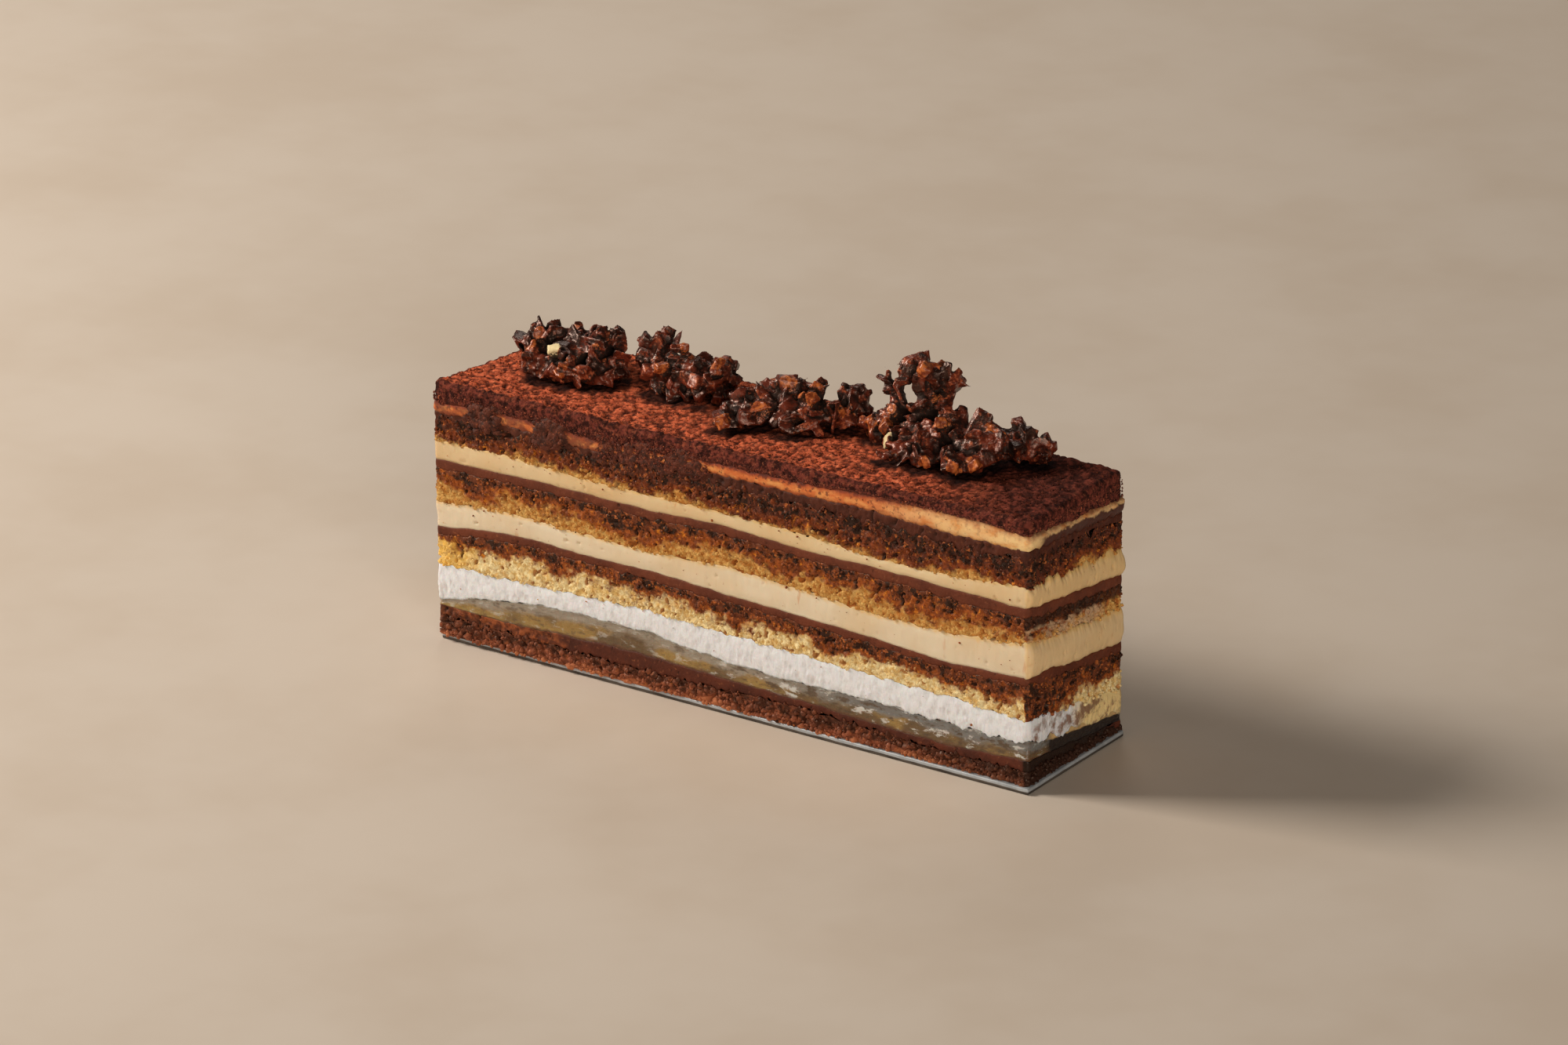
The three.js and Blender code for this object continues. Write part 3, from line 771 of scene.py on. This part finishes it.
columns, rows = round(TOP_LENGTH / GRAIN_STEP), round(TOP_WIDTH / GRAIN_STEP)
bm, rise, pit, shelter = grid(columns, rows, "rise", "pit", "shelter")
ring = {}  # the points of the border, each with its way out and its first place
for v in bm.verts:
    u, w = v.co.x, v.co.y
    flat = in_footprint(u, w, RIM)
    push, v[pit] = clumps(flat.to_3d())
    v[rise] = 1
    v.co = Vector((flat.x, flat.y, min(hit("cocoa_top", flat.x, flat.y), TOP_HIGHEST) - 0.12 + push))
    v[shelter] = shelter_at(v.co)
    if v.is_boundary:
        way_out = Vector((u if abs(u) > 0.9999 else 0, w if abs(w) > 0.9999 else 0, 0)).normalized()
        ring[v] = way_out, v.co.copy()
rounds = [(RIM * math.sin(a), RIM_DROP * (1 - math.cos(a)), 0) for a in (0.35, 0.75, 1.15, 1.57)]
rounds += [(RIM, RIM_DROP, t / SIDE_ROWS) for t in range(1, SIDE_ROWS + 1)]
for reach, down, share in rounds:
    grown = bmesh.ops.extrude_edge_only(bm, edges=[e for e in bm.edges if e.is_boundary])["geom"]
    fresh = [g for g in grown if isinstance(g, bmesh.types.BMVert)]
    ring = {v: ring[next(o for e in v.link_edges if (o := e.other_vert(v)) in ring)] for v in fresh}
    for v, (way_out, first) in ring.items():
        inner, side = first + way_out * (RIM - INSIDE), first + way_out * reach
        foot = seam_above(12, inner.x, inner.y) + ragged(12, side.x, side.y) - 0.15
        side.z = (first.z - down) * (1 - share) + foot * share
        push, v[pit] = smooth_set(side, 0.5, None)
        rough = 0.17 * noise.fractal(side / 0.8, 0.6, 2.2, 3)
        v.co = side + way_out * (push + rough)
        v[rise] = -share
bmesh.ops.holes_fill(bm, edges=bm.edges[:], sides=0)
print("points of the cocoa top:", len(bm.verts))

# %% Cocoa finish
f = Finish("cocoa_powder", (116, 54, 41), 0.12, sockets={"Roughness": 0.95})
rise, pit = f.carried("rise"), f.carried("pit")
powder = f.mix((228, 112, 72), (180, 82, 51), f.cloud(2.0, 4, 0.7).mask(0.4, 0.62))
powder = f.mix(powder, (236, 140, 96), f.cloud(0.6, 3, 0.7).mask(0.54, 0.68) * 0.7)
f.cover((50, 21, 15), f.cloud(1.3, 4, 0.7).mask(0.4, 0.6))
# Towards the right and the back the top is darker: the powder lies thinner there, and the shade of the nut clusters is
# painted in.
thin_powder_and_shade = (f.along + f.deep * 1.2 + f.sway(40, 14, 3)).mask(14, 50) * 0.95
# Specks where the powder is missing, more near the front, and a little more in the dimples as painted shade.
speck = (f.cloud(0.5, 2, 0.6, shift=6.0) + f.deep.mask(-7, -13) * 0.07 + pit * 0.06).mask(0.6, 0.67)
dusted = (rise + f.cloud(1.2, 4, 0.65) * 0.9).mask(0.35, 1.15)
f.cover(powder, dusted * (1 - thin_powder_and_shade) * (1 - speck * 0.8))
f.cover((120, 58, 40), f.cloud(0.5, 3, 0.7, shift=1.0).mask(0.56, 0.66) * thin_powder_and_shade * 0.4)
side = rise.mask(0.6, 0.2)
f.cover((146, 80, 56), f.cloud(0.6, 3, 0.6, shift=2.0).mask(0.56, 0.66) * side * 0.7)
f.cover((34, 14, 10), f.cloud(1.0, 4, 0.7, shift=5.0).mask(0.5, 0.62) * side * 0.8)
# Painted shade in the dimples between the clumps.
f.cover((50, 21, 14), pit.mask(0.24, 0.66) * 0.72)
shade = f.carried("shelter") + f.sway(0.5, 1.6, 4, 0.65, shift=3.0)
# Painted shade round each cluster, where its melted chocolate also darkens the powder.
f.cover((22, 9, 6), shade.mask(0.3, 0.8) * 0.93)
f.bump(f.cloud(0.3, 4, 0.7) + f.cells(0.45) * 0.5, 0.12, 0.9)
piece("cocoa_top_dusted", bm, f, "cocoa", "cocoa_top")

# %% [markdown]
# ## The card
#
# The slice stands on a thin card with a dull silver face, which shows at the foot of the front and of the right
# end. A plain box would look like a sheet of metal, so its edges are bevelled. Its lower half is painted dark: the
# brown-grey core of the card, and painted shadow under it. Cuts across it keep its faces from being long slivers.

# %% Card
CARD_SIZE = (116.6, 28.4, 1.06)  # mm
CARD_MIDDLE = 0.55  # mm up
CARD_TURN = math.radians(-0.7)
CARD_PARTS = 16
low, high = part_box("base_card")
middle = (low + high) / 2 / MM
bm = bmesh.new()
bmesh.ops.create_cube(bm, size=1)
bmesh.ops.scale(bm, vec=CARD_SIZE, verts=bm.verts)
bmesh.ops.bevel(bm, geom=bm.edges[:], offset=0.22, segments=3, profile=0.5, affect="EDGES", material=-1)
for n in range(1, CARD_PARTS):
    cut = Vector(((n - CARD_PARTS / 2) * CARD_SIZE[0] / CARD_PARTS, 0, 0))
    bmesh.ops.bisect_plane(bm, geom=bm.verts[:] + bm.edges[:] + bm.faces[:], plane_co=cut, plane_no=(1, 0, 0))
bmesh.ops.rotate(bm, cent=(0, 0, 0), matrix=Matrix.Rotation(CARD_TURN, 3, "Z"), verts=bm.verts)
bmesh.ops.translate(bm, vec=(middle.x, middle.y, CARD_MIDDLE), verts=bm.verts)
print("faces of the card:", len(bm.faces))

# %% Card finish
f = Finish("silver_card", (182, 184, 184), sockets={"Metallic": 0.35})
f.cover((160, 162, 162), f.cloud(3, 3, 0.6).mask(0.35, 0.65))
# Below the middle of its edge the card is painted dark: its brown-grey core, and painted shadow under it.
core_and_painted_shadow = f.mix((92, 82, 72), (62, 54, 48), f.cloud(1.2, 3, 0.6, (0.3, 0.3, 4)).mask(0.4, 0.6))
f.cover(core_and_painted_shadow, (f.height + f.sway(0.3, 4)).mask(0.62, 0.5))
f.feed("Roughness", 0.38 + f.cloud(2, 3) * 0.25)
f.bump(f.cloud(0.8, 3, 0.6), 0.05, 0.5)
piece("card_bevelled", bm, f, "card", "base_card")

# %% [markdown]
# ## The nut clusters
#
# A cluster is chopped nuts stirred in melted chocolate and dropped in a rough heap. The solids of the frame have
# the right lumps, so each one is the core: a voxel remesh melts it into one smooth skin, as chocolate does.
#
# On that skin go the nuts. A knife cracks a nut along flat faces, so each kind starts as a block with uneven
# corners and worn edges. A dozen kinds, turned and stretched by chance, are enough for hundreds of nuts. Then all
# is melted once more, finely, so that chocolate runs into the corners between the nuts. Most nuts are under
# chocolate, and some stayed bare: their places are listed.

# %% Chopped nuts
KINDS = 12
BARE_NUTS = {  # for each cluster: where x, y and z, half the length, all in mm, and how bare
    1: [(-41.1, -3.6, 51.7, 1.3, 2), (-46.0, -0.6, 52.6, 1.2, 1), (-35.3, -0.4, 52.4, 1.1, 0.9),
        (-38.7, -5.5, 48.7, 1.1, 1)],
    2: [(-20.1, 3.6, 54.4, 1.3, 1), (-22.0, -0.2, 51.4, 1.4, 1), (-13.6, 3.8, 52.6, 1.4, 1),
        (-23.7, 4.4, 52.0, 1.1, 0.8)],
    3: [(7.3, 0.0, 52.2, 1.5, 1.2), (2.0, 1.2, 53.0, 2.0, 1), (6.8, 2.6, 53.2, 1.4, 0.8), (-4.7, -7.7, 48.4, 1.6, 1),
        (11.0, 3.2, 49.6, 1.1, 1)],
    4: [(17.6, 2.2, 49.4, 1.5, 1), (20.6, 1.4, 49.8, 1.6, 1), (20.6, 3.6, 52.0, 1.3, 1), (23.3, -1.9, 48.9, 1.4, 2),
        (26.4, 4.4, 60.0, 1.6, 1), (30.7, 2.4, 52.0, 1.4, 1), (32.2, -4.4, 48.0, 1.2, 1), (37.1, -4.2, 48.4, 1.7, 1),
        (40.8, -3.2, 49.0, 1.5, 1), (39.2, 3.8, 52.2, 1.3, 1), (41.1, 3.9, 52.0, 1.2, 1)],
}


def any_way(draw):
    return Vector([draw.gauss(0, 1) for _ in range(3)]).normalized()


def nut_kind(seed):
    """One chopped nut, about 2 across."""
    draw = random.Random(seed)
    bm = bmesh.new()
    bmesh.ops.create_cube(bm, size=2)
    for v in bm.verts:
        v.co = Vector([c * draw.uniform(0.4, 1.1) for c in v.co])
    bmesh.ops.bevel(bm, geom=bm.edges[:], offset=0.2, segments=2, profile=0.5, affect="EDGES", material=-1)
    bmesh.ops.subdivide_edges(bm, edges=bm.edges[:], cuts=1, use_grid_fill=True)
    for v in bm.verts:
        v.co *= 1 + 0.16 * noise.fractal(v.co * 1.7 + Vector((seed, 0, 0)), 0.6, 2.1, 3)
    return mesh_of(f"nut_kind_{seed}", bm)


nut_kinds = [nut_kind(seed) for seed in range(KINDS)]
print("kinds of nut:", KINDS)

# %% Melting
COARSE, FINE = 0.3, 0.19  # mm


def melted(name, mesh, step):
    """The mesh as one skin of small equal faces, in millimetres."""
    lump = add(name + "_lump", mesh)
    skin = lump.modifiers.new("melt", "REMESH")
    skin.mode = "VOXEL"
    skin.voxel_size = step
    bm = bmesh.new()
    bm.from_mesh(lump.evaluated_get(bpy.context.evaluated_depsgraph_get()).to_mesh())
    bpy.data.objects.remove(lump)
    return bm


def roughened(bm, size, reach, shrink):
    """Smooths a skin twice, then moves it in or out by a pattern of that size."""
    for _ in range(2):
        bmesh.ops.smooth_vert(bm, verts=bm.verts, factor=0.5, use_axis_x=True, use_axis_y=True, use_axis_z=True)
    bm.normal_update()
    for v in bm.verts:
        v.co += v.normal * (reach * noise.fractal(v.co / size, 0.7, 2.2, 3) - shrink)


print("melting helpers ready")

# %% Nuts on the core
TINTS = (0, 0, 0, 0, 0, 0.1, 0.1, 0.15, 0.2, 0.25, 0.3, 0.3, 0.4, 0.8)  # how bare a nut is, by chance
LOWEST_NUT = 47.3  # mm up


def chopped(bm, draw, count, bare):
    """The place, half length, tint and flatness of each nut."""
    faces = bm.faces[:]
    highest = max(v.co.z for v in bm.verts)
    low, high = [[pick(v.co[i] for v in bm.verts) for i in (0, 1)] for pick in (min, max)]
    areas = [f.calc_area() if f.calc_center_median().z > LOWEST_NUT else 0 for f in faces]
    nuts = [(Vector(place), half, tint, False, any_way(draw)) for *place, half, tint in bare]
    for face in draw.choices(faces, areas, k=count):
        flake = draw.random() < 0.4
        half = draw.uniform(1.7, 3.3) if flake else 0.8 + 1.1 * draw.random() ** 1.4
        place = face.calc_center_median() + face.normal * (0.3 if flake else half * draw.uniform(-0.1, 0.3))
        place.z = min(place.z, highest - half * 0.9)
        for i in (0, 1):
            place[i] = clamp(place[i], low[i] + half * 0.7, high[i] - half * 0.7)
        nuts.append((place, half, draw.choice(TINTS), flake, face.normal.copy()))
    return nuts


def stick(bm, draw, nuts):
    """Each nut is laid on the core: a flake with its flat side down, more or less, and any other by chance."""
    for place, half, tint, flake, out in nuts:
        first = len(bm.verts)
        bm.from_mesh(draw.choice(nut_kinds))
        bm.verts.ensure_lookup_table()
        if flake:
            lean = (out + any_way(draw) * 0.9).normalized()
            turn = lean.to_track_quat("Z", "Y").to_matrix() @ Matrix.Rotation(draw.uniform(0, 6.28), 3, "Z")
            size = (half, half * draw.uniform(0.4, 0.7), draw.uniform(0.36, 0.55))
        else:
            turn = any_way(draw).to_track_quat("Z", "Y").to_matrix()
            size = (half, half * draw.uniform(0.7, 1.0), half * draw.uniform(0.55, 0.85))
        bmesh.ops.transform(bm, matrix=Matrix.LocRotScale(place, turn, size), verts=bm.verts[first:])


print("nut helpers ready")

# %% Skin of a cluster
REACH = 3.5  # mm that a point looks for other chocolate
LOOKS = 5


def shut_in(tree, place, out, draw):
    """The share of looks outwards that end on the cluster itself: 1 deep in a hollow."""
    stopped = 0
    for _ in range(LOOKS):
        look = (out * 1.1 + any_way(draw)).normalized()
        met = tree.ray_cast(place + out * 0.05, look, REACH)
        stopped += met[0] is not None
    return stopped / LOOKS


def cluster(name, number, count):
    """So many nuts, and the bare ones, on the frame's solid, which is melted and shrunk to make room for them."""
    draw = random.Random(number)
    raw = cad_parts[name].data.copy()
    raw.transform(Matrix.Scale(1 / MM, 4))
    bm = melted(name, raw, COARSE)
    roughened(bm, 0.9, 0.2, 0.4)
    nuts = chopped(bm, draw, count, BARE_NUTS[number])
    stick(bm, draw, nuts)
    bm = melted(name, mesh_of(name + "_heap", bm), FINE)
    roughened(bm, 0.8, 0.07, 0.02)
    near = KDTree(len(nuts))
    for i, nut in enumerate(nuts):
        near.insert(nut[0], i)
    near.balance()
    bm.normal_update()
    tree = BVHTree.FromBMesh(bm)
    tinted, hollow = [bm.verts.layers.float.new(name) for name in ("tint", "hollow")]
    for v in bm.verts:
        _, i, away = near.find(v.co)
        v[tinted] = nuts[i][2] if away < nuts[i][1] * 1.15 else 0.1
        v[hollow] = shut_in(tree, v.co, v.normal, draw)
    return bm


print("cluster helpers ready")

# %% Nuts in chocolate
f = Finish("nuts_in_chocolate", (34, 11, 6), 0.75, (1.0, 0.66, 0.52))
tint = f.carried("tint")
f.cover((112, 44, 26), (f.cloud(2.4, 4, 0.6) + tint * 0.3).mask(0.42, 0.7))
# Lighter patches: the chocolate rubbed thin over the nuts, and painted highlights.
f.cover((206, 108, 68), (f.cloud(0.8, 4, 0.7, shift=8.0) + tint * 0.25).mask(0.58, 0.72) * 0.65)
caramel = f.mix((120, 48, 22), (206, 112, 54), f.cloud(0.9, 4, 0.65).mask(0.42, 0.64))
caramel = f.mix(caramel, (244, 220, 166), tint.mask(1.3, 1.7))
f.cover(caramel, (tint + f.sway(1.1, 0.9, 4, 0.65, shift=3.0)).mask(0.62, 0.8))
# Painted shade: near black deep in the hollows between the nuts.
deep = f.carried("hollow").mask(0.12, 0.5)
f.cover((12, 4, 2), deep * 0.96)
f.feed("Roughness", 0.12 + f.cloud(1.0, 4, 0.65) * 0.34 + deep * 0.5)
f.bump(f.cloud(0.45, 4, 0.65), 0.1, 0.8)
for number, count in ((1, 105), (2, 85), (3, 95), (4, 170)):
    node = f"nut_cluster_{number}"
    piece(node + "_nuts", cluster(node, number, count), f, "chocolate_nuts", node)

# %% [markdown]
# ## Smears of crumb
#
# The knife drags dark crumb and powder from the top over the cream just under it. So in some places a crust hides
# that cream. Each crust is a small closed sheet on the cut face, and its border dives under the surface, which
# gives it a ragged edge.

# %% Smears
FRONT, BACK, LEFT = Vector((0, -1)), Vector((0, 1)), Vector((-1, 0))
SMEARS = [
    (FRONT, -51.8, -44.3), (FRONT, -38.4, -30.8), (FRONT, -26.3, -2.3), (BACK, -44.0, -20.0), (BACK, 2.0, 16.0),
    (BACK, 38.0, 46.0), (LEFT, -5.0, 6.0),
]
CRUST_ROWS = 26
CRUST_OUT, CRUST_THICK = 0.32, 0.3  # mm


def steps_facing(side, start, end):
    """The steps of the knife's line that face one side, between two places along it."""
    axis = 0 if side.y else 1
    return [k for k, (p, out) in enumerate(way) if out.dot(side) > 0.95 and start < p[axis] < end]


def crust(side, start, end):
    steps = steps_facing(side, start, end)
    columns = len(steps) - 1
    bm, pit = grid(columns, CRUST_ROWS, "pit")
    for v in bm.verts:
        column, t = round((v.co.x + 1) / 2 * columns), (v.co.y + 1) / 2
        k = steps[column]
        low, high = seams[11][k] - 0.9, seams[13][k] + 1.3
        place, out = at_step(k, low + (high - low) * t)
        rim = min(column * STEP / 2.4, (columns - column) * STEP / 2.4, t / 0.3, (1 - t) / 0.25)
        cover = clamp(rim * 1.6 - 0.25 + noise.fractal(squashed(place, 2.6, 1.3), 0.6, 2.2, 4) * 1.4)
        push, v[pit] = crumb(place, 0.3, out)
        v.co = place + out * (CRUST_OUT + push * 0.8 + 0.8 * (cover - 1))
    bmesh.ops.recalc_face_normals(bm, faces=bm.faces)
    bmesh.ops.solidify(bm, geom=bm.faces[:], thickness=CRUST_THICK)
    return bm


print("smears:", len(SMEARS))

# %% Crusts
f = Finish("dark_crust", (92, 42, 27), 0.35, (1.0, 0.8, 0.66))
f.cover((56, 24, 16), f.cloud(1.3, 4, 0.7).mask(0.42, 0.58))
f.cover((156, 82, 52), f.cloud(0.5, 3, 0.7).mask(0.58, 0.66) * 0.6)
# Painted shade in the pits.
f.cover((30, 12, 8), f.carried("pit").mask(0.25, 0.8) * 0.85)
f.feed("Roughness", 0.45 + f.cloud(0.8, 3, 0.6, shift=4.0) * 0.5)
f.bump(f.cloud(0.35, 3, 0.7) + f.cells(0.5) * 0.5, 0.14, 0.9)
for number, (side, start, end) in enumerate(SMEARS, 1):
    piece(f"crust_{number}", crust(side, start, end), f, "cocoa")

# %% [markdown]
# ## Loose grains
#
# Grains of cocoa lie on the top, crumbs stand out of the sponge, and some stick to the creams or fall on the
# card. One grain is a ball of twenty faces. Adding thousands of balls one by one is slow, so the first is doubled,
# then both are doubled, and so on. Then each one is squeezed, turned and carried to its own spot.


# %% Grains
def grains(name, spots, seed, finish, slot):
    """A grain at each spot, which gives its place, its size and the height in its layer."""
    draw, spots = random.Random(seed), list(spots)
    bm = bmesh.new()
    bmesh.ops.create_icosphere(bm, subdivisions=1, radius=1)
    points, edges, faces = len(bm.verts), len(bm.edges), len(bm.faces)
    made = 1
    while made < len(spots):
        more = min(made, len(spots) - made)
        geom = bm.verts[: more * points] + bm.edges[: more * edges] + bm.faces[: more * faces]
        bmesh.ops.duplicate(bm, geom=geom)
        made += more
    rise = bm.verts.layers.float.new("rise")
    for i, v in enumerate(bm.verts):
        place, size, height = spots[i // points]
        if i % points == 0:
            turn = any_way(draw).to_track_quat("Z", "Y").to_matrix()
            squeeze = Vector([size * draw.uniform(0.6, 1.2) for _ in range(3)])
        v.co = place + turn @ (v.co * squeeze)
        v[rise] = height
    piece(name, bm, finish, slot)


print("grain helper ready")

# %% Crumbs on the sponge
CRUMBS = 3600  # on each sponge


def crumb_spots(index, largest):
    """Places on the cut face of one sponge."""
    draw = random.Random(index)
    for _ in range(CRUMBS):
        k, t = draw.randrange(len(way)), draw.random() ** 1.3
        size = 0.12 + largest * draw.random() ** 2.5
        place, out = at_step(k, seams[index][k] + (seams[index + 1][k] - seams[index][k]) * t)
        push = crumb(place, t, out)[0]
        height = (place.z - levels[index][k]) / (levels[index + 1][k] - levels[index][k])
        far = min(push + size * 0.1, (0.26 if out.x < 0 else 0.6) - size * 0.9)
        yield place + out * far, size, height


grains("base_sponge_crumbs", crumb_spots(0, 0.55), 0, sponges[0], "chocolate_sponge")
for index in (4, 7, 10):
    grains(f"{LAYERS[index]}_crumbs", crumb_spots(index, 0.34), index, sponges[index], "sponge")


# %% Cocoa grains
def cocoa_spots(count):
    """Places on the top, more in some patches than in others."""
    draw = random.Random(5)
    tree = tree_of(bpy.data.meshes["cocoa_top_dusted"])
    for _ in range(count):
        flat = in_footprint(draw.uniform(-1, 1), draw.uniform(-1, 1), 0.8)
        size = 0.1 + 0.16 * draw.random() ** 2
        landing = tree.ray_cast(Vector((flat.x, flat.y, 90)), Vector((0, 0, -1)))[0]
        patch = noise.noise(flat.to_3d() / 6)
        if landing and patch > draw.uniform(-0.7, 0.5) and shelter_at(landing) < 0.3:
            yield landing + Vector((0, 0, size * 0.3)), size, 1


f = Finish("cocoa_grains", (186, 92, 54), 0.1, sockets={"Roughness": 1.0})
f.cover((96, 44, 28), f.cloud(1.1).mask(0.4, 0.6))
# Darker to the right, as on the top: thinner powder, and painted shade of the clusters.
f.cover((62, 30, 24), (f.along + f.sway(30, 12)).mask(20, 50) * 0.8)
grains("cocoa_grains", cocoa_spots(4600), 3, f, "cocoa")


# %% Dark grains
def side_spots(count):
    """Places on the cocoa's side and on the crusts under it."""
    draw = random.Random(8)
    for _ in range(count):
        k = draw.randrange(len(way))
        p, out = way[k]
        size = 0.09 + 0.14 * draw.random() ** 2
        rim = hit("cocoa_top", *(p - out * INSIDE)) - 1.6
        place, out = at_step(k, draw.uniform(seams[13][k], rim))
        yield place + out * 0.16, size, 1
    for side, start, end in SMEARS:
        for k in steps_facing(side, start + 0.8, end - 0.8):
            for _ in range(4):
                place, out = at_step(k, draw.uniform(seams[11][k] + 0.3, seams[13][k] + 0.8))
                yield place + out * 0.34, 0.09 + 0.16 * draw.random() ** 2, 1


def fallen_spots(count):
    """Crumbs that stick to the creams, and a few that fell on the card at the front."""
    draw = random.Random(9)
    for _ in range(count):
        k, index = draw.randrange(len(way)), draw.choice((3, 3, 6, 6, 9, 9, 12))
        t = draw.random() ** 0.6
        place, out = at_step(k, seams[index][k] + (seams[index + 1][k] - seams[index][k]) * t)
        yield place + out * 0.26, 0.08 + 0.16 * draw.random() ** 3, 0.5
    for _ in range(count // 4):
        place = Vector((draw.gauss(14, 16), -14.1 - 0.3 * draw.random(), 1.2))
        if abs(place.x) < 56:
            yield place, 0.12 + 0.25 * draw.random() ** 2, 1


f = Finish("dark_grains", (82, 38, 26), 0.25, sockets={"Roughness": 0.9})
f.cover((128, 62, 40), f.cloud(0.6).mask(0.45, 0.6))
f.cover((176, 96, 62), f.cloud(0.8, shift=4.0).mask(0.64, 0.7))
grains("dark_grains", side_spots(4200), 6, f, "cocoa")
grains("fallen_crumbs", fallen_spots(170), 7, sponges[7], "sponge")
